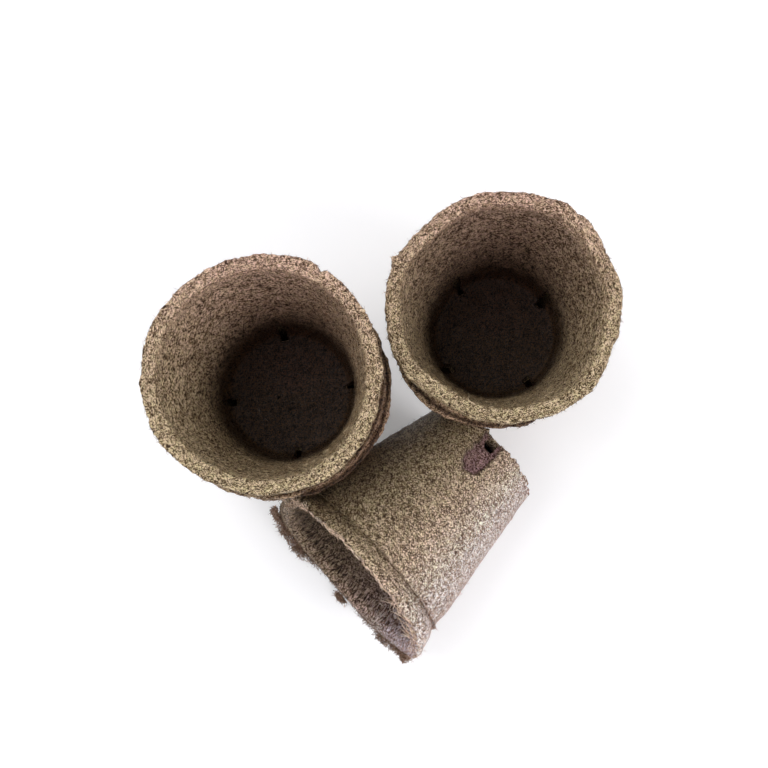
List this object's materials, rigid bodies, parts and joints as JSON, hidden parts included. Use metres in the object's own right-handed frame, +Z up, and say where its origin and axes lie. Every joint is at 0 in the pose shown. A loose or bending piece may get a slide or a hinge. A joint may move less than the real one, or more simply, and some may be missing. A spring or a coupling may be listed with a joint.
{
  "type": "peat pot",
  "caption": "Tapered round seedling pots moulded from peat fibre, nested in stacks, two stacks upright and one on its side; each pot lifts or slides out of the next.",
  "frame": {"origin": "on the floor, under the middle of the box round all the pots", "axes": "+Z up, out of the mouths of the standing pots; +X along the lying nest from its mouth to its base; +Y from the lying nest towards the standing nests"},
  "size_m": [0.1164, 0.1082, 0.0687],
  "materials": {
    "left_outer_peat": "matte",
    "left_middle_peat": "matte",
    "left_inner_peat": "matte",
    "right_outer_peat": "matte",
    "right_inner_peat": "matte",
    "lying_outer_peat": "matte",
    "lying_inner_peat": "matte"
  },
  "bodies": {
    "left_outer": {"left_outer_pot": "left_outer_peat"},
    "left_middle": {"left_middle_pot": "left_middle_peat"},
    "left_inner": {"left_inner_pot": "left_inner_peat"},
    "right_outer": {"right_outer_pot": "right_outer_peat"},
    "right_inner": {"right_inner_pot": "right_inner_peat"},
    "lying_outer": {"lying_outer_pot": "lying_outer_peat"},
    "lying_inner": {"lying_inner_pot": "lying_inner_peat"}
  },
  "joints": [
    {"name": "left_middle_pull", "type": "slide", "parent": "left_outer", "child": "left_middle", "axis": [0, 0, 1], "range_m": [0, 0.04]},
    {"name": "left_inner_pull", "type": "slide", "parent": "left_middle", "child": "left_inner", "axis": [0, 0, 1], "range_m": [0, 0.04]},
    {"name": "right_nest_lift", "type": "slide", "parent": "left_outer", "child": "right_outer", "axis": [0, 0, 1], "range_m": [0, 0.075]},
    {"name": "right_inner_pull", "type": "slide", "parent": "right_outer", "child": "right_inner", "axis": [0, 0, 1], "range_m": [0, 0.04]},
    {"name": "lying_nest_draw", "type": "slide", "parent": "left_outer", "child": "lying_outer", "axis": [0, -1, 0], "range_m": [0, 0.045]},
    {"name": "lying_inner_pull", "type": "slide", "parent": "lying_outer", "child": "lying_inner", "axis": [-0.9744, 0, 0.2248], "range_m": [0, 0.04]}
  ]
}
